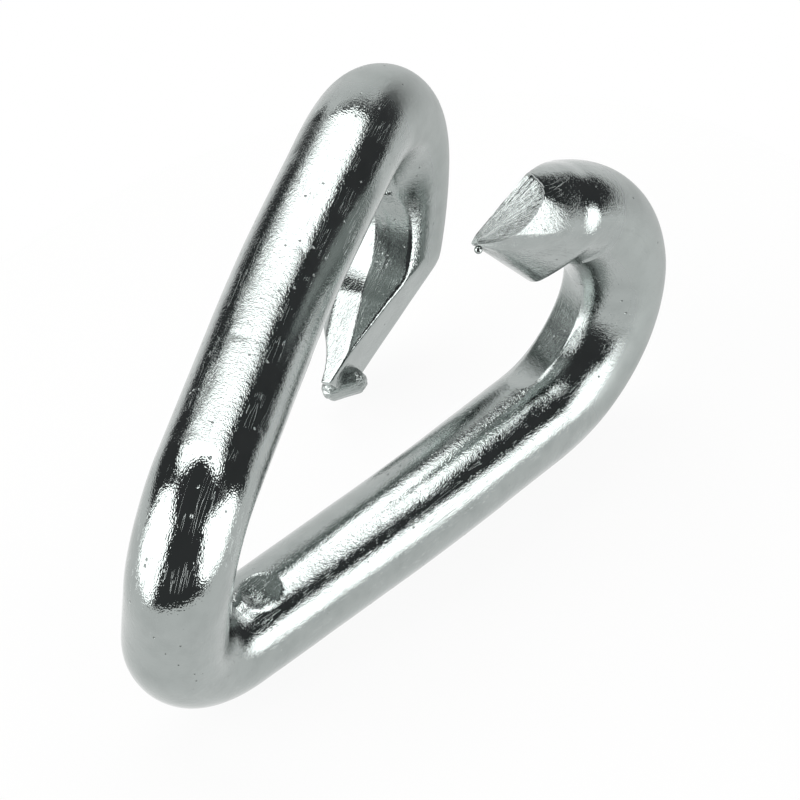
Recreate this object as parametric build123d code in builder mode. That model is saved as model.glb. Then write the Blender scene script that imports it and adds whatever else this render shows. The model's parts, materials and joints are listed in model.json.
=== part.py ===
from build123d import *
from math import atan2, degrees, hypot, radians, tan
import os

# Open connecting link for chain, bent from one length of round steel bar.
# Both halves are bent alike: half a turn about the link's long axis, Y, carries one
# onto the other. Each is laid out as a wire bender works: feed, roll the bending plane,
# bend. A feed runs from the corner of one bend to the corner of the next.

wire_diameter = 6.0

# bottom bend, shared by both halves
bottom_half_width = 6.7
bottom_bend_angle = 90.7
bottom_radius = 4.5
splay_angle = 15.7

# leg, with a slight bow
lower_leg = 19.0
upper_leg = 18.4
bow_roll_angle = -134.6
bow_bend_angle = 6.4
bow_radius = 70.0

# hook
hook_roll_angle = 126.7
hook_bend_angle = 103.1
hook_radius = 6.9

# straight that is left between the hook's bend and the tail's
crossing_straight = 0.210147

# tails, which were pinched off at different lengths
tail_roll_angle = -3.9
tail_bend_angle = 50.1
tail_radius = 9.2
down_tail_length = 10.8
up_tail_length = 13.8

# Bites that the bending pins left in the inside of each bend: how deep, and how far each
# leans round the bar. The bottom one is past its bend, at a distance along the leg, and
# the others are at an angle round theirs.
bottom_pin_radius = 3.0
bottom_pin_bite = 0.25
bottom_pin_distance = 1.8
hook_pin_radius = 4.2
hook_pin_bite = 0.28
hook_pin_angle = 51.5
down_hook_pin_lean_angle = 10.0
up_hook_pin_lean_angle = -25.0
tail_pin_radius = 5.0
tail_pin_bite = 0.4
tail_pin_angle = 38.0

# how far the pinch spread the tail that points up, inwards and outwards in the plane of
# its bend; the bar is round for a short length past the bend, and then swells
round_length = 0.05
inner_spread = 1.9
outer_spread = 0.1
swell_length = 0.5

# Flats of the pinched ends. Each is turned about the bar, with 0 on the side that faces
# into the V and 90 on the side that faces the other leg. It starts at its length behind
# the end, on the bar's surface unless a start is given, and reaches its height above the
# bar's centre line at the end.
leaf_turn = 100.3
leaf_half_angle = 15.5
leaf_height = 2.85
leaf_end_length = 1.6
down_bevel_turn = 6.2
down_bevel_length = 8.9
down_bevel_height = -0.87
down_outer_turn = -43.7
down_outer_length = 12.8
down_outer_height = 0.15
down_jaw_turn = 181.3
down_jaw_radius = 4.6
down_jaw_height = 1.75
down_jaw_length = 0.6
up_bevel_turn = -8.7
up_bevel_length = 11.4
up_bevel_height = -1.27
up_inner_turn = 81.3
up_inner_length = 10.1
up_inner_height = 0.28
up_shear_turn = -118.3
up_shear_length = 4.7
up_shear_height = 0.8
up_side_turn = -146.6
up_side_length = 7.5
up_side_height = 1.76
up_back_turn = 147.1
up_back_length = 10.1
up_back_start = 3.4
up_back_height = 1.72

# burr that the cutter pressed over the end of the tail that points down
burr_width = 2.8
burr_thickness = 1.3
burr_turn = 181.3
burr_offset = 0.9
burr_inset = 0.45
burr_lean_angle = -28.0

# width of the tool that makes a flat or a pin's bite, as a share of the bar's diameter
tool_width_ratio = 1.4

# attitude in which the link comes to rest on its side
rest_pitch = 3.9
rest_roll = 11.5

wire_radius = wire_diameter / 2
tool_width = tool_width_ratio * wire_diameter


def half_route(start, last_feed):
    """Corners of one half, the frame at each corner before its bend, and the last frame."""
    here = start
    frames = []
    steps = (
        (bottom_half_width, splay_angle, bottom_bend_angle),
        (lower_leg, bow_roll_angle, bow_bend_angle),
        (upper_leg, hook_roll_angle, hook_bend_angle),
        (crossing, tail_roll_angle, tail_bend_angle),
    )
    for feed, roll, bend in steps:
        here = here * Pos(0, 0, feed) * Rot(Z=roll)
        frames.append(here)
        here = here * Rot(X=-bend)
    last = here * Pos(0, 0, last_feed)
    corners = [frame.position for frame in frames] + [last.position]
    return corners, frames, last


def setback(radius, bend):
    """Distance from a corner to where its arc starts."""
    return radius * tan(radians(bend / 2))


def on_bend(frame, radius, bend, angle):
    """The bar's frame at an angle round a bend, from the frame at the bend's corner."""
    return frame * Pos(0, radius, -setback(radius, bend)) * Rot(X=-angle) * Pos(0, -radius, 0)


def cut_pin(contact, pin_radius, bite, lean=0):
    """Bite of a round pin that lies across the inner side of the bar at the contact."""
    with Locations(contact * Rot(Z=lean) * Pos(0, wire_radius - bite + pin_radius, 0) * Rot(Y=90)):
        Cylinder(pin_radius, tool_width, mode=Mode.SUBTRACT)


def cut_flat(end, turn, length, start_height, end_height):
    """One flat of a pinched end."""
    drop = start_height - end_height
    slope = degrees(atan2(drop, length))
    with Locations(end * Rot(Z=turn) * Pos(start_height, 0, -length) * Rot(Y=-slope)):
        Box(wire_radius + inner_spread - end_height, tool_width, hypot(drop, length) + wire_radius,
            align=(Align.MIN, Align.CENTER, Align.MIN), mode=Mode.SUBTRACT)


radii = [bottom_radius, bow_radius, hook_radius, tail_radius]
tail_setback = setback(tail_radius, tail_bend_angle)
crossing = setback(hook_radius, hook_bend_angle) + crossing_straight + tail_setback
round_feed = tail_setback + round_length
rest = Rot(X=rest_pitch) * Rot(Y=rest_roll)
down_corners, down_frames, down_end = half_route(rest, down_tail_length)
up_corners, up_frames, up_start = half_route(rest * Rot(Y=180), round_feed)
up_end = up_start * Pos(0, 0, up_tail_length - round_feed)

with BuildPart() as bent_bar:
    with BuildLine() as route:
        FilletPolyline(*reversed(up_corners), *down_corners, radius=[*reversed(radii), *radii])
    with BuildSketch(Plane(origin=route.line @ 0, z_dir=route.line % 0)):
        Circle(wire_radius)
    sweep(path=route.line)

    # past the bend the tail that points up swells to an oval, which runs on to its end
    swollen = up_start * Pos(0, 0, swell_length)
    with BuildSketch(Plane(up_start)):
        Circle(wire_radius)
    with BuildSketch(Plane(swollen)) as oval:
        with Locations((0, (inner_spread - outer_spread) / 2)):
            Ellipse(wire_radius, wire_radius + (inner_spread + outer_spread) / 2)
    loft()
    extrude(oval.sketch, amount=(up_end.position - swollen.position).length)

    hook_pin_leans = (down_hook_pin_lean_angle, up_hook_pin_lean_angle)
    for frames, hook_pin_lean in zip((down_frames, up_frames), hook_pin_leans):
        bottom_frame, bow_frame, hook_frame, tail_frame = frames
        leg_distance = setback(bottom_radius, bottom_bend_angle) + bottom_pin_distance
        cut_pin(bottom_frame * Rot(X=-bottom_bend_angle) * Pos(0, 0, leg_distance),
                bottom_pin_radius, bottom_pin_bite)
        cut_pin(on_bend(hook_frame, hook_radius, hook_bend_angle, hook_pin_angle),
                hook_pin_radius, hook_pin_bite, hook_pin_lean)

    # the tail that points down: a leaf left by the pin and two flats inside, bevelled on the
    # side that faces into the V, and nipped by a round jaw on its back
    cut_pin(on_bend(down_frames[-1], tail_radius, tail_bend_angle, tail_pin_angle),
            tail_pin_radius, tail_pin_bite)
    leaf_end = down_end * Pos(0, 0, -leaf_end_length)
    leaf_length = down_tail_length - tail_setback - leaf_end_length
    for turn in (leaf_turn - leaf_half_angle, leaf_turn + leaf_half_angle):
        cut_flat(leaf_end, turn, leaf_length, leaf_height, wire_radius)
    cut_flat(down_end, down_bevel_turn, down_bevel_length, wire_radius, down_bevel_height)
    cut_flat(down_end, down_outer_turn, down_outer_length, wire_radius, down_outer_height)
    jaw = down_end * Rot(Z=down_jaw_turn) * Pos(down_jaw_height + down_jaw_radius, 0, -down_jaw_length)
    with Locations(jaw * Rot(X=90)):
        Cylinder(down_jaw_radius, tool_width, mode=Mode.SUBTRACT)

    # the tail that points up: bevelled, flattened inside, sheared, and pressed on two sides
    cut_flat(up_end, up_bevel_turn, up_bevel_length, wire_radius, up_bevel_height)
    cut_flat(up_end, up_inner_turn, up_inner_length, wire_radius + inner_spread, up_inner_height)
    cut_flat(up_end, up_shear_turn, up_shear_length, wire_radius, up_shear_height)
    cut_flat(up_end, up_side_turn, up_side_length, wire_radius, up_side_height)
    cut_flat(up_end, up_back_turn, up_back_length, up_back_start, up_back_height)

    burr = down_end * Rot(Z=burr_turn) * Pos(burr_offset, 0, -burr_inset) * Rot(Y=burr_lean_angle)
    with BuildSketch(Plane(burr)):
        SlotOverall(burr_width, burr_thickness)
        Rectangle(burr_width, burr_thickness, align=(Align.CENTER, Align.MAX), mode=Mode.SUBTRACT)
    revolve(axis=Axis(burr.position, Plane(burr).x_dir))

# the lowest point touches the ground, under the middle of the link's box
box = bent_bar.part.bounding_box()
middle = box.center()
with BuildPart() as open_link:
    with Locations((-middle.X, -middle.Y, -box.min.Z)):
        add(bent_bar.part.solids())

open_link.part.label = "open_link"
os.makedirs("parts", exist_ok=True)
export_step(open_link.part, "parts/open_link.step")
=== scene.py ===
import bmesh
import bpy
import json
from math import atan2, cos, exp, inf, pi, radians, sin, sqrt, tan
from mathutils import Matrix, Vector, noise

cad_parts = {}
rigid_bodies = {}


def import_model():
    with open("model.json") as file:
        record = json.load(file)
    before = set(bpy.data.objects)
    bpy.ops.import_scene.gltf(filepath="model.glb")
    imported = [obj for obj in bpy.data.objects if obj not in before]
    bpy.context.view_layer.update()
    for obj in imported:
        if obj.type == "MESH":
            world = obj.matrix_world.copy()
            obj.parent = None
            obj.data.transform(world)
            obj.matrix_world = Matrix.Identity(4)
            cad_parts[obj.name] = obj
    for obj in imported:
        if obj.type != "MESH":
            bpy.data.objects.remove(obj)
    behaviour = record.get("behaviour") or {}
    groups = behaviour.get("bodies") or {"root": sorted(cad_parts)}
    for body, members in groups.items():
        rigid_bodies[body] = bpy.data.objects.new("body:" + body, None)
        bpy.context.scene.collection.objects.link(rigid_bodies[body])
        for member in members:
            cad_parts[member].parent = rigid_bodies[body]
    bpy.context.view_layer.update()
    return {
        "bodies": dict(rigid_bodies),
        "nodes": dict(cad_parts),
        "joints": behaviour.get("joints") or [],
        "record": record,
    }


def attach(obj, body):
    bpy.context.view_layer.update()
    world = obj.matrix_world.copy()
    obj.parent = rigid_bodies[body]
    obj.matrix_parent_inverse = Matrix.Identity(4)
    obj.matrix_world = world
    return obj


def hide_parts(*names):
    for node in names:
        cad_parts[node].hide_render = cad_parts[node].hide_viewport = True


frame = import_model()

# ---------------------------------------------------------------- the bar, in mm and degrees
MM = 0.001
WIRE_RADIUS = 3.0
BOTTOM_MIDDLE = Vector((0, -17.547, 9.460))
REST_PITCH, REST_ROLL = 3.9, 11.5

# each bend of one half: feed from the corner before it, roll, bend, radius
BENDS = {
    "bottom": (6.7, 15.7, 90.7, 4.5),
    "bow": (19.0, -134.6, 6.4, 70.0),
    "hook": (18.4, 126.7, 103.1, 6.9),
    "tail": (13.2, -3.9, 50.1, 9.2),
}
DOWN_TAIL_LENGTH, UP_TAIL_LENGTH = 10.8, 13.8

# the tail that points up swells to an oval past its bend
INNER_SPREAD, OUTER_SPREAD = 2.5, 0.1
ROUND_LENGTH, SWELL_LENGTH = 0.05, 1.7

# the mesh: points round the bar, and the distance from one ring to the next
RING_POINTS = 128
LEG_STEP, HOOK_STEP, TAIL_BEND_STEP, TAIL_STEP = 0.25, 0.2, 0.14, 0.1

# the middle of each pinched end, off the bar's centre line, where its flats close in
DOWN_SPINE, UP_SPINE = (-1.35, 0.40), (-1.52, 0.15)
SPINE_LENGTH = 10.0


def feed(length):
    return Matrix.Translation((0, 0, length))


def turned(degrees, axis):
    return Matrix.Rotation(radians(degrees), 4, axis)


def shifted(x, y, z):
    return Matrix.Translation((x, y, z))


class Ring:
    """One cross-section of the bar: where it is, and on what stretch of the bar."""

    def __init__(self, frame, rolled, stretch, along):
        self.frame = frame
        self.rolled = rolled
        self.carry = frame @ turned(-rolled, "Z")   # the same, without the rolls before it
        self.stretch = stretch
        self.along = along
        self.to_end = 0.0
        self.points = []


class Half:
    """The rings of one half, from the middle of the bottom bend to the end of its tail."""

    def __init__(self, start, tail_length):
        self.rings = []
        self.corner = {}
        self.rolled = 0.0
        here, used = start, 0.0
        steps = {"bottom": LEG_STEP, "bow": LEG_STEP, "hook": HOOK_STEP, "tail": TAIL_BEND_STEP}
        for name, (distance, roll, bend, radius) in BENDS.items():
            setback = radius * tan(radians(bend) / 2)
            here = self.straight(here, distance - used - setback, LEG_STEP, name + " feed")
            here = here @ turned(roll, "Z")
            self.rolled += roll
            self.corner[name] = here
            here = self.arc(here, radius, bend, steps[name], name)
            used = setback
        here = self.straight(here, tail_length - used, TAIL_STEP, "tail end")
        self.end = here
        self.rings.append(Ring(here, self.rolled, "tail end", tail_length - used))
        distance = 0.0
        for ring, after in zip(reversed(self.rings[:-1]), reversed(self.rings[1:])):
            distance += (after.frame.translation - ring.frame.translation).length
            ring.to_end = distance
        self.length = distance

    def straight(self, here, length, step, name):
        count = max(1, round(length / step))
        for i in range(count):
            self.rings.append(Ring(here @ feed(length * i / count), self.rolled, name,
                                   length * i / count))
        return here @ feed(length)

    def arc(self, here, radius, bend, step, name):
        count = max(1, round(radius * radians(bend) / step))
        for i in range(count):
            self.rings.append(Ring(on_bend(here, radius, bend * i / count), self.rolled, name,
                                   radius * radians(bend) * i / count))
        return on_bend(here, radius, bend)


def on_bend(start, radius, angle):
    """The bar's frame at an angle round a bend that begins at the frame given."""
    return start @ shifted(0, radius, 0) @ turned(-angle, "X") @ shifted(0, -radius, 0)


# ---------------------------------------------------------------- the tools that pressed it
# Each tool answers how far a ray from inside the bar goes before it meets the tool, and
# reaches only its own stretches of the bar. Sizes are in mm.
TOOL_WIDTH = 8.4
FLAT_SOFT, PIN_SOFT, JAW_SOFT = 0.2, 0.05, 0.12   # how far each rounds the edge that it leaves
PIN_LIP, LIP_WIDTH = 0.03, 0.10   # the low lip that a pin pushes up beside its bite
RUN_OUT = 0.8        # how far behind its start a flat may still touch the bar
SKIMMING = 0.02      # a ray that meets a flat more slantingly than this misses it
TEAR_MARGIN = 0.02   # how near the surface the shear has to come to tear it


class Tool:
    def __init__(self, distance, stretches, soft, lip=0.0, tears=False):
        self.distance = distance
        self.stretches = stretches
        self.soft = soft
        self.lip = lip
        self.tears = tears


def flat(end, turn, length, start, finish, soft=FLAT_SOFT, reach=None, tears=False):
    """A flat that goes from its start height to its finish height over a length."""
    across = Vector((cos(radians(turn)), sin(radians(turn)), 0))
    normal = Vector((across.x, across.y, (start - finish) / length))
    inverse = end.inverted()
    turn_back = inverse.to_3x3()
    reach = reach or length + RUN_OUT

    def distance(point, direction):
        p = inverse @ point
        rate = normal.dot(turn_back @ direction)
        room = finish - normal.dot(p)
        if p.z < -reach or rate < SKIMMING or room < 0:
            return inf
        return room / rate
    return Tool(distance, ("tail", "tail end"), soft, tears=tears)


def pin(contact, radius, bite, stretches, lean=0):
    """A round pin across the inner side of the bar, which leaves a low lip at its edges."""
    place = contact @ turned(lean, "Z") @ shifted(0, WIRE_RADIUS - bite + radius, 0)
    return roller(place, radius, stretches, PIN_SOFT, PIN_LIP)


def jaw(end, turn, height, radius, length):
    """A round jaw that nips the bar from the side, close to its end."""
    place = end @ turned(turn - 90, "Z") @ shifted(0, height + radius, -length)
    return roller(place, radius, ("tail end",), JAW_SOFT)


def roller(place, radius, stretches, soft, lip=0.0):
    """A cylinder along the X axis of its place."""
    inverse = place.inverted()
    turn_back = inverse.to_3x3()

    def distance(point, direction):
        p, d = inverse @ point, turn_back @ direction
        a = d.y * d.y + d.z * d.z
        b = p.y * d.y + p.z * d.z
        c = p.y * p.y + p.z * p.z - radius * radius
        root = b * b - a * c
        if a < 1e-9 or root <= 0 or b >= 0 or c <= 0:
            return inf
        reached = (-b - sqrt(root)) / a
        return reached if abs(p.x + reached * d.x) < TOOL_WIDTH / 2 else inf
    return Tool(distance, stretches, soft, lip)


def soft_min(a, b, width):
    """The smaller of two distances, with the corner between them rounded over a width."""
    gap = max(width - abs(a - b), 0) / width
    return min(a, b) - gap * gap * width / 4


def bar_distance(ring, x, y, dx, dy, swelling):
    """How far the bar's own skin is along a ray in the ring's plane."""
    grown = 0.0
    if swelling and ring.stretch == "tail end":
        grown = min(max((ring.along - ROUND_LENGTH) / SWELL_LENGTH, 0), 1)
        grown = grown * grown * (3 - 2 * grown)
    middle = grown * (INNER_SPREAD - OUTER_SPREAD) / 2
    tall = WIRE_RADIUS + grown * (INNER_SPREAD + OUTER_SPREAD) / 2
    y, dy = (y - middle) / tall, dy / tall
    x, dx = x / WIRE_RADIUS, dx / WIRE_RADIUS
    a = dx * dx + dy * dy
    b = x * dx + y * dy
    c = x * x + y * y - 1
    return (-b + sqrt(b * b - a * c)) / a


RIPPLES = (0.034, 3.0), (0.008, 1.0)   # height and length of the bar's waves

# Knocks from the tools: distance along the bar from the bottom, degrees round it, then
# length, width and depth.
DOWN_DENTS = (
    (16.4, 252, 1.5, 0.30, 0.035), (13.6, 260, 1.8, 0.35, 0.035), (17.0, 264, 0.30, 1.40, 0.030),
    (12.0, 334, 0.35, 0.35, 0.040), (24.2, 300, 0.45, 0.30, 0.025), (31.0, 236, 0.5, 0.35, 0.020),
    (9.9, 252, 0.6, 0.9, 0.030), (5.6, 300, 0.5, 0.4, 0.020),
)
UP_DENTS = (
    (9.6, 112, 0.9, 0.35, 0.050), (10.2, 134, 0.7, 0.30, 0.045), (32.0, 130, 0.9, 0.35, 0.035),
    (22.6, 122, 0.6, 0.30, 0.025), (44.2, 186, 0.4, 0.30, 0.020), (49.8, 184, 0.4, 0.30, 0.020),
)
DENT_REACH = 2.5   # lengths of a knock past which it isn't felt

# How the bends dulled the plate: fully on the outer side and partly on the sides. It starts
# and ends over a distance along the bar, in mm, and over a share of the way round.
SIDE_DULLNESS = 0.5
BEFORE_HOOK = 6
HOOK_START, TAIL_STOP, DULL_FADE = 0.5, 5.0, 3.0
OUTSIDE_START, OUTSIDE_FADE = 0.16, 0.2


def dulled(ring, angle):
    """How far the bend stretched the plate: most on its outer side, nothing inside."""
    if ring.stretch == "hook feed":
        return SIDE_DULLNESS * min(ring.along / BEFORE_HOOK, 1) * max(0, cos(angle))
    if ring.stretch not in ("hook", "tail feed", "tail"):
        return 0.0
    outside = min(max((0.5 - 0.5 * sin(angle) - OUTSIDE_START) / OUTSIDE_FADE, 0), 1)
    started, ended, side = 1.0, 0.0, 0.0
    if ring.stretch == "hook":
        started = min(max((ring.along - HOOK_START) / DULL_FADE, 0), 1)
        side = SIDE_DULLNESS * max(0, cos(angle))
    if ring.stretch == "tail":
        ended = min(max((ring.along - TAIL_STOP) / DULL_FADE, 0), 1)
    return max(outside * started * (1 - ended), side)


def dented(dents, along, degrees_round):
    """How deep the knocks are at a place on the bar."""
    depth = 0.0
    for centre, middle, length, width, deepest in dents:
        away = (along - centre) / length
        if abs(away) < DENT_REACH:
            sideways = radians((degrees_round - middle + 180) % 360 - 180) * WIRE_RADIUS / width
            depth += deepest * exp(-away * away - sideways * sideways)
    return depth


def press(ring, half_length, spine, tools, dents, swelling, layers):
    """Moves one ring's points onto the bar as its tools left it."""
    dull, torn, straight = layers
    along = half_length - ring.to_end
    closing = max(0, 1 - ring.to_end / SPINE_LENGTH)
    x, y = spine[0] * closing, spine[1] * closing
    inside = ring.frame @ Vector((x, y, 0))
    turn_out = ring.frame.to_3x3()
    inverse = ring.frame.inverted()
    tools = [tool for tool in tools if ring.stretch in tool.stretches]
    for vertex in ring.points:
        local = inverse @ vertex.co
        angle = atan2(local.y, local.x)
        dx, dy = cos(angle), sin(angle)
        direction = turn_out @ Vector((dx, dy, 0))
        skin = bar_distance(ring, x, y, dx, dy, swelling)
        far, tear = skin, 0.0
        for tool in tools:
            reached = tool.distance(inside, direction)
            if reached < inf:
                if reached > skin:
                    far += tool.lip * exp(-((reached - skin) / LIP_WIDTH) ** 2)
                if tool.tears and reached < far + TEAR_MARGIN:
                    tear = 1.0
                far = soft_min(far, reached, tool.soft)
        at = inside + direction * far
        far -= sum(height * (0.5 + 0.5 * noise.noise(at / length)) for height, length in RIPPLES)
        round_bar = angle + radians(ring.rolled)
        far -= dented(dents, along, round_bar * 180 / pi)
        vertex.co = inside + direction * far
        vertex[dull] = dulled(ring, angle)
        vertex[torn] = tear
        side = -1 if swelling else 1
        vertex[straight] = (side * WIRE_RADIUS * cos(round_bar), WIRE_RADIUS * sin(round_bar), side * along)


def build_half(bm, half, spine, tools, dents, swelling, layers):
    """Extrudes the bar ring by ring along its route and presses it, and returns the edges round its open
    end.
    """
    first = half.rings[0]
    circle = bmesh.ops.create_circle(bm, segments=RING_POINTS, radius=WIRE_RADIUS, matrix=first.carry)
    first.points = circle["verts"]
    edges = list(dict.fromkeys(edge for vertex in first.points for edge in vertex.link_edges))
    for before, after in zip(half.rings, half.rings[1:]):
        grown = bmesh.ops.extrude_edge_only(bm, edges=edges)["geom"]
        after.points = [item for item in grown if isinstance(item, bmesh.types.BMVert)]
        new = set(after.points)
        edges = [item for item in grown if isinstance(item, bmesh.types.BMEdge)
                 and new.issuperset(item.verts)]
        bmesh.ops.transform(bm, matrix=after.carry @ before.carry.inverted(), verts=after.points)
    for ring in half.rings:
        press(ring, half.length, spine, tools, dents, swelling, layers)
    return edges


rest = turned(REST_PITCH, "X") @ turned(REST_ROLL, "Y")
down = Half(rest, DOWN_TAIL_LENGTH)
up = Half(rest @ turned(180, "Y"), UP_TAIL_LENGTH)


def bend_end(half, name):
    """The frame where a bend ends."""
    distance, roll, bend, radius = BENDS[name]
    return on_bend(half.corner[name], radius, bend)


# the pins that bent the bar: radius and bite in mm, where each touches, and how far it leans
BOTTOM_PIN_RADIUS, BOTTOM_PIN_BITE, BOTTOM_PIN_DISTANCE = 3.0, 0.25, 1.8
HOOK_PIN_RADIUS, HOOK_PIN_BITE, HOOK_PIN_ANGLE = 4.2, 0.28, 51.5
DOWN_HOOK_PIN_LEAN, UP_HOOK_PIN_LEAN = 10, -25
TAIL_PIN_RADIUS, TAIL_PIN_BITE, TAIL_PIN_ANGLE = 5.0, 0.45, 38

# the leaf inside the tail that points down: two flats that lean away from its ridge
LEAF_RIDGE, LEAF_HALF_ANGLE = 10.3, 15.5   # degrees round the bar from its inner side
LEAF_LENGTH, LEAF_HEIGHT, LEAF_SOFT, LEAF_REACH = 6.5, 2.75, 0.10, 8.0


def shared_pins(half, hook_lean):
    """The pins that bent both halves."""
    hook_contact = on_bend(half.corner["hook"], BENDS["hook"][3], HOOK_PIN_ANGLE)
    return [
        pin(bend_end(half, "bottom") @ feed(BOTTOM_PIN_DISTANCE), BOTTOM_PIN_RADIUS, BOTTOM_PIN_BITE,
            ("bottom", "bow feed")),
        pin(hook_contact, HOOK_PIN_RADIUS, HOOK_PIN_BITE, ("hook feed", "hook", "tail feed"), hook_lean),
    ]


def leaf_pin(side):
    """One side of the bite that the tail's pin left, behind the leaf."""
    return pin(on_bend(down.corner["tail"], BENDS["tail"][3], TAIL_PIN_ANGLE), TAIL_PIN_RADIUS,
               TAIL_PIN_BITE, ("tail feed", "tail", "tail end"), LEAF_RIDGE + side * LEAF_HALF_ANGLE)


def leaf_flat(side):
    """One of the leaf's two flats."""
    return flat(down.end, 90 + LEAF_RIDGE + side * LEAF_HALF_ANGLE, LEAF_LENGTH, LEAF_HEIGHT,
                LEAF_HEIGHT, LEAF_SOFT, LEAF_REACH)


# Each half's tools, in the order in which they press. A flat is turned about the bar, with 0
# on the side that faces into the V and 90 on the side that faces the other leg.
down_tools = shared_pins(down, DOWN_HOOK_PIN_LEAN) + [
    leaf_pin(-1), leaf_pin(1), leaf_flat(-1), leaf_flat(1),
    flat(down.end, turn=6.2, length=8.9, start=WIRE_RADIUS, finish=-0.87),       # bevel
    flat(down.end, turn=-43.7, length=12.8, start=WIRE_RADIUS, finish=0.15),     # outer side
    jaw(down.end, turn=181.3, height=1.75, radius=4.6, length=0.6),
]
up_tools = shared_pins(up, UP_HOOK_PIN_LEAN) + [
    flat(up.end, turn=-8.7, length=11.4, start=WIRE_RADIUS, finish=-1.27),       # bevel
    flat(up.end, turn=81.3, length=11.4, start=WIRE_RADIUS + INNER_SPREAD, finish=0.28),   # inner side
    flat(up.end, turn=-118.3, length=4.7, start=WIRE_RADIUS, finish=0.8, soft=0.1, tears=True),
    flat(up.end, turn=-152, length=7.5, start=WIRE_RADIUS, finish=1.76),         # side
    flat(up.end, turn=147.1, length=10.1, start=3.4, finish=1.72, soft=1.2),     # back
]

DOWN_RIM, UP_RIM = 0.2, 0.1   # how far the rim of each cut end is rounded
JOINT_GAP = 0.02              # points of the two halves closer than this are one

bm = bmesh.new()
dull_layer = bm.verts.layers.float.new("dull")
torn_layer = bm.verts.layers.float.new("torn")
straight_layer = bm.verts.layers.float_vector.new("straight_bar")
layers = (dull_layer, torn_layer, straight_layer)
for half, spine, tools, dents, rounding, swelling in (
        (down, DOWN_SPINE, down_tools, DOWN_DENTS, DOWN_RIM, False),
        (up, UP_SPINE, up_tools, UP_DENTS, UP_RIM, True)):
    rim = build_half(bm, half, spine, tools, dents, swelling, layers)
    bmesh.ops.edgeloop_fill(bm, edges=rim)
    bmesh.ops.bevel(bm, geom=rim, affect="EDGES", offset=rounding, offset_type="OFFSET", segments=3,
                    profile=0.5, material=-1, clamp_overlap=True)
bmesh.ops.remove_doubles(bm, verts=down.rings[0].points + up.rings[0].points, dist=JOINT_GAP)

# The burr that the cutter pressed over the foot of the tail that points down: a ball with its
# halves drawn apart, and lumps of two lengths on it.
BURR_WIDTH, BURR_THICKNESS = 2.9, 1.6
BURR_TURN, BURR_OFFSET, BURR_INSET, BURR_LEAN = 181.3, 0.9, 0.45, -28
BURR_WAIST = 0.1                              # length over which the halves are drawn apart
BIG_LUMP_LENGTH, SMALL_LUMP_LENGTH = 0.28, 0.1
BURR_TORN = 0.6
burr_place = (down.end @ turned(BURR_TURN, "Z") @ shifted(BURR_OFFSET, 0, -BURR_INSET)
              @ turned(BURR_LEAN + 90, "Y"))
burr = bmesh.ops.create_uvsphere(bm, u_segments=48, v_segments=32, radius=BURR_THICKNESS / 2)["verts"]
for vertex in burr:
    ragged = (0.94 + 0.10 * noise.noise(vertex.co / BIG_LUMP_LENGTH)
              - 0.05 * abs(noise.noise(vertex.co / SMALL_LUMP_LENGTH)))
    vertex.co *= ragged
    vertex.co.z += (BURR_WIDTH - BURR_THICKNESS) / 2 * max(-1, min(1, vertex.co.z / BURR_WAIST))
    vertex[torn_layer] = BURR_TORN
    vertex[straight_layer] = vertex.co
bmesh.ops.transform(bm, matrix=burr_place, verts=burr)

# a bead of metal at the very tip of the tail that points up
BEAD_RADIUS = 0.24
BEAD_PLACE = (-1.70, 0.62, -0.25)
bead = bmesh.ops.create_uvsphere(bm, u_segments=24, v_segments=16, radius=BEAD_RADIUS,
                                 matrix=up.end @ shifted(*BEAD_PLACE))["verts"]
for vertex in bead:
    vertex[straight_layer] = vertex.co

bmesh.ops.recalc_face_normals(bm, faces=bm.faces)
for face in bm.faces:
    face.smooth = True
bmesh.ops.translate(bm, vec=BOTTOM_MIDDLE, verts=bm.verts)
bmesh.ops.scale(bm, vec=(MM, MM, MM), verts=bm.verts)
mesh = bpy.data.meshes.new("bent_bar")
bm.to_mesh(mesh)
bm.free()
link = bpy.data.objects.new("bent_bar", mesh)
bpy.context.collection.objects.link(link)
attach(link, "root")
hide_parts("open_link")


def srgb(code):
    """A colour as the eye reads it, #rrggbb, made linear for the shaders."""
    parts = [int(code[i:i + 2], 16) / 255 for i in (1, 3, 5)]
    return [c / 12.92 if c <= 0.04045 else ((c + 0.055) / 1.055) ** 2.4 for c in parts] + [1.0]


def add_node(tree, kind, inputs=None, **settings):
    """One shader node with its settings; an input is a value or another node's output."""
    node = tree.nodes.new(kind)
    for name, value in settings.items():
        setattr(node, name, value)
    for key, value in (inputs or {}).items():
        if isinstance(value, bpy.types.NodeSocket):
            tree.links.new(value, node.inputs[key])
        else:
            node.inputs[key].default_value = value
    return node


def new_material(name):
    material = bpy.data.materials.new(name)
    material.use_nodes = True
    material.node_tree.nodes.clear()
    return material, material.node_tree


# Bright zinc plate: a thin, slightly green-grey mirror over drawn steel, gone satin where the
# bends stretched it, with the fine grain, pits and scratches of barrel plating. The real grain
# and scratches are too fine to show, so they are drawn coarser. Patterns lie on the bar as it
# was before bending, in mm.
PLATE, CLOUDED_PLATE, PIT_COLOUR = "#a6acaa", "#979d9b", "#5f6462"
BRIGHT_ROUGHNESS, DULL_ROUGHNESS, PIT_ROUGHNESS = 0.05, 0.40, 0.35
GRAIN_PER_MM, GRAIN_DEPTH = 4.0, 0.013
FINE_GRAIN_PER_MM, FINE_GRAIN_DEPTH = 14.0, 0.009
PITS_PER_MM, PIT_DEPTH = 1.5, 0.03
PIT_EDGE, PIT_FLOOR = 0.13, 0.06      # distances from a pit's middle, as shares of the spacing
FIRST_PITTED, ALL_PITTED = 0.52, 0.60   # which of the places where a pit could be have one
LINE_FINENESS = 0.0028                # share of its wave's height that a scratch or rub takes
LINE_DEPTH = 0.007
LINE_PATCHES_PER_MM, CLOUDS_PER_MM = 0.45, 0.7
TEARS_PER_MM_ACROSS, TEARS_PER_MM_ALONG, TEAR_DEPTH = 7.0, 0.35, 0.16
zinc, tree = new_material("bright_zinc_plate")
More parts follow.
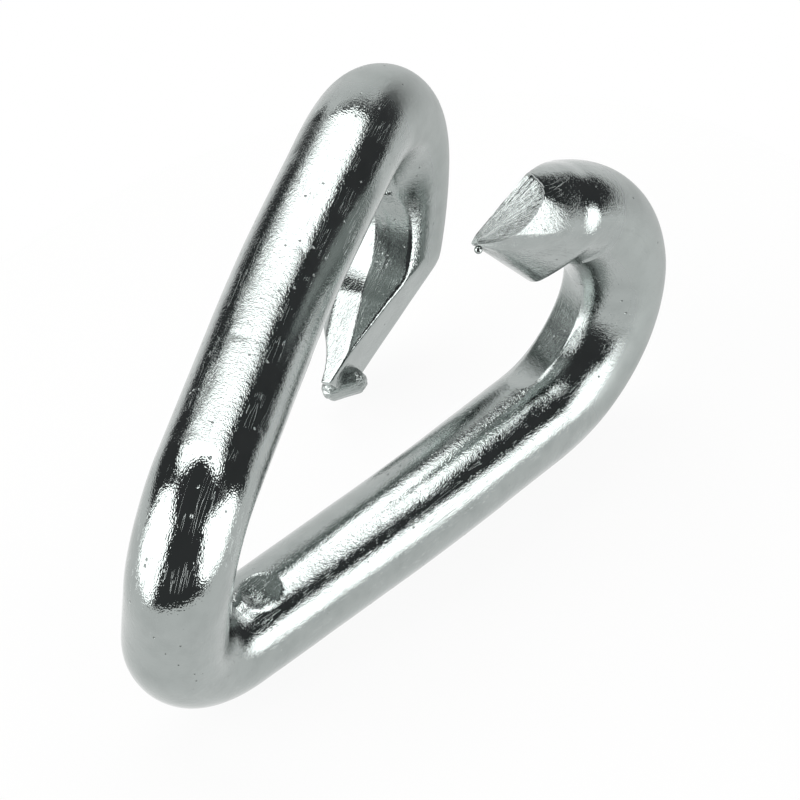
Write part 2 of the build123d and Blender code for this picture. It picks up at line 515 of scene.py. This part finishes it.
bar = add_node(tree, "ShaderNodeAttribute", attribute_name="straight_bar").outputs["Vector"]
dull = add_node(tree, "ShaderNodeAttribute", attribute_name="dull").outputs["Fac"]
torn = add_node(tree, "ShaderNodeAttribute", attribute_name="torn").outputs["Fac"]


def grains(per_mm, **more):
    return add_node(tree, "ShaderNodeTexNoise", {"Vector": bar, "Scale": per_mm, **more}).outputs["Fac"]


def ramp(value, low, high, first=0.0, last=1.0):
    return add_node(tree, "ShaderNodeMapRange", {"Value": value, "From Min": low, "From Max": high,
                                                 "To Min": first, "To Max": last}).outputs["Result"]


def times(a, b):
    return add_node(tree, "ShaderNodeMath", {0: a, 1: b}, operation="MULTIPLY").outputs[0]


def bump(height, millimetres, below=None):
    inputs = {"Height": height, "Strength": 1.0, "Distance": millimetres * MM}
    if below:
        inputs["Normal"] = below
    return add_node(tree, "ShaderNodeBump", inputs).outputs["Normal"]


def larger(a, b):
    return add_node(tree, "ShaderNodeMath", {0: a, 1: b}, operation="MAXIMUM").outputs[0]


def blend(share, first, second):
    """A colour between two, by a share of the second."""
    return add_node(tree, "ShaderNodeMix", {0: share, 6: first, 7: second}, data_type="RGBA").outputs[2]


def lines(turn, per_mm_across, per_mm_along):
    """Thin lines that run along the straightened bar, leaning by a turn, in patches."""
    leant = add_node(tree, "ShaderNodeMapping", {
        "Vector": bar, "Rotation": (radians(turn), 0, 0),
        "Scale": (per_mm_across, per_mm_across, per_mm_along)}).outputs["Vector"]
    wave = add_node(tree, "ShaderNodeTexNoise", {"Vector": leant, "Scale": 1.0}).outputs["Fac"]
    middle = add_node(tree, "ShaderNodeMath", {0: wave, 1: 0.5}, operation="SUBTRACT").outputs[0]
    off = add_node(tree, "ShaderNodeMath", {0: middle}, operation="ABSOLUTE").outputs[0]
    return times(ramp(off, LINE_FINENESS, 0.0), ramp(grains(LINE_PATCHES_PER_MM), 0.48, 0.62))


cells = add_node(tree, "ShaderNodeTexVoronoi", {"Vector": bar, "Scale": PITS_PER_MM})
chosen = add_node(tree, "ShaderNodeSeparateColor", {"Color": cells.outputs["Color"]}).outputs["Red"]
pits = times(ramp(cells.outputs["Distance"], PIT_EDGE, PIT_FLOOR), ramp(chosen, FIRST_PITTED, ALL_PITTED))
scratches = lines(8, 2.6, 0.16)
rubs = lines(62, 2.2, 0.22)
drawn_out = add_node(tree, "ShaderNodeMapping", {
    "Vector": bar,
    "Scale": (TEARS_PER_MM_ACROSS, TEARS_PER_MM_ACROSS, TEARS_PER_MM_ALONG)}).outputs["Vector"]
tears = times(add_node(tree, "ShaderNodeTexNoise", {
    "Vector": drawn_out, "Scale": 1.0, "Detail": 3.0}).outputs["Fac"], torn)
clouds = ramp(grains(CLOUDS_PER_MM, Detail=4.0), 0.42, 0.72)

relief = bump(grains(GRAIN_PER_MM), GRAIN_DEPTH)
relief = bump(grains(FINE_GRAIN_PER_MM, Detail=0.0), FINE_GRAIN_DEPTH, relief)
relief = bump(tears, TEAR_DEPTH, relief)
relief = bump(times(pits, -1.0), PIT_DEPTH, relief)
relief = bump(times(larger(scratches, rubs), -1.0), LINE_DEPTH, relief)
roughness = ramp(dull, 0.0, 1.0, BRIGHT_ROUGHNESS, DULL_ROUGHNESS)
roughness = add_node(tree, "ShaderNodeMath", {0: roughness, 1: times(pits, PIT_ROUGHNESS)},
                     operation="ADD").outputs[0]
clean = blend(times(clouds, 0.55), srgb(PLATE), srgb(CLOUDED_PLATE))
plate_colour = blend(times(pits, 0.6), clean, srgb(PIT_COLOUR))
plate = add_node(tree, "ShaderNodeBsdfPrincipled", {
    "Base Color": plate_colour,
    "Metallic": 1.0,
    "Roughness": roughness,
    "Normal": relief,
})
add_node(tree, "ShaderNodeOutputMaterial", {"Surface": plate.outputs["BSDF"]})
link.data.materials.append(zinc)

# ---------------------------------------------------------------- camera
camera = bpy.data.cameras.new("camera")
camera.lens = 199.7
camera.sensor_width = 36.0
camera.clip_start = 0.01
camera_object = bpy.data.objects.new("camera", camera)
camera_object.location = (0.10854, -0.14860, 0.18182)
camera_object.rotation_euler = (radians(46.941), radians(3.519), radians(31.937))
bpy.context.collection.objects.link(camera_object)
bpy.context.scene.camera = camera_object
bpy.context.scene.view_settings.view_transform = "Standard"

# ---------------------------------------------------------------- floor
FLOOR_RADIUS, FLOOR_STRETCH = 0.034, 1.25   # m across the link, and how much longer along it
PAPER_GLOW = 0.93   # share of the paper that is seen as plain white

bm = bmesh.new()
bmesh.ops.create_circle(bm, cap_ends=True, segments=64, radius=FLOOR_RADIUS)
bmesh.ops.scale(bm, vec=(1, FLOOR_STRETCH, 1), verts=bm.verts)
floor_mesh = bpy.data.meshes.new("floor")
bm.to_mesh(floor_mesh)
bm.free()
floor = bpy.data.objects.new("floor", floor_mesh)
bpy.context.collection.objects.link(floor)
paper, tree = new_material("white_paper")
sheet = add_node(tree, "ShaderNodeBsdfDiffuse", {"Color": srgb("#f4f4f2")}).outputs[0]
seen = add_node(tree, "ShaderNodeLightPath")
looked_at = larger(larger(seen.outputs["Is Camera Ray"], seen.outputs["Is Glossy Ray"]),
                   seen.outputs["Is Transmission Ray"])
# the rest of what is seen is the lit sheet, which keeps the link's shadow
glow = times(looked_at, PAPER_GLOW)
white = add_node(tree, "ShaderNodeEmission", {"Color": srgb("#ffffff"), "Strength": 1.0}).outputs[0]
mixed = add_node(tree, "ShaderNodeMixShader", {0: glow, 1: sheet, 2: white}).outputs[0]
add_node(tree, "ShaderNodeOutputMaterial", {"Surface": mixed})
floor.data.materials.append(paper)

# ---------------------------------------------------------------- the studio that the plate mirrors
# Directions are given as the camera sees them: degrees to its right and degrees up, with 0, 0
# towards the camera.
world = bpy.data.worlds.new("studio")
world.use_nodes = True
bpy.context.scene.world = world
tree = world.node_tree
tree.nodes.clear()
axes = camera_object.rotation_euler.to_matrix()
look = add_node(tree, "ShaderNodeTexCoord").outputs["Generated"]


def towards(right, above):
    right, above = radians(right), radians(above)
    return axes @ Vector((cos(above) * sin(right), sin(above), cos(above) * cos(right)))


def dot(direction):
    return add_node(tree, "ShaderNodeVectorMath", {0: look, 1: direction},
                    operation="DOT_PRODUCT").outputs["Value"]


def smaller(a, b):
    return add_node(tree, "ShaderNodeMath", {0: a, 1: b}, operation="MINIMUM").outputs[0]


def step(value, low, high):
    return add_node(tree, "ShaderNodeMapRange", {"Value": value, "From Min": low, "From Max": high},
                    interpolation_type="SMOOTHSTEP").outputs["Result"]


def panel(*corners, edge=0.018):
    """1 inside the flat panel whose corners are given from its top leftwards, 0 outside."""
    ends = [towards(*corner) for corner in corners]
    inside = None
    for a, b in zip(ends, ends[1:] + ends[:1]):
        side = dot(a.cross(b).normalized())
        inside = side if inside is None else smaller(inside, side)
    return step(inside, -edge, edge)


room = step(dot(towards(-8, 4)), -0.05, 0.02)     # 1 in the dark half that the camera is in
far_left = panel((-108, 57), (-140, 46), (-144, 26), (-96, 14), (-70, 40), edge=0.05)
far_right = panel((84, 60), (50, 40), (52, 6), (103, -2), (124, 26), (140, 48), edge=0.04)
dark = larger(room, larger(far_left, far_right))

left = panel((-50, 37), (-82, 29), (-104, -8), (-92, -43), (-58, -36), (-33, 3))
high = panel((-90, 76), (-106, 56), (-55, 43), (20, 62), (60, 76))
over = panel((30, 84), (-30, 66), (30, 46), (44, 28), (62, 56))
right = panel((72, 9), (30, -2), (46, -46), (66, -48), (90, -26), (93, -8), (87, 4))
lit = larger(larger(left, high), larger(right, over))

black = (0.062, 0.064, 0.066, 1)
grey = (1.0, 1.0, 1.0, 1)
soft_white = (3.4, 3.4, 3.4, 1)
studio = blend(lit, blend(dark, grey, black), soft_white)
rays = add_node(tree, "ShaderNodeLightPath")
backdrop = add_node(tree, "ShaderNodeBackground", {"Color": srgb("#ffffff"), "Strength": 1.0}).outputs[0]
around = add_node(tree, "ShaderNodeBackground", {"Color": studio, "Strength": 1.0}).outputs[0]
final = add_node(tree, "ShaderNodeMixShader", {0: rays.outputs["Is Camera Ray"], 1: around,
                                               2: backdrop}).outputs[0]
add_node(tree, "ShaderNodeOutputWorld", {"Surface": final})
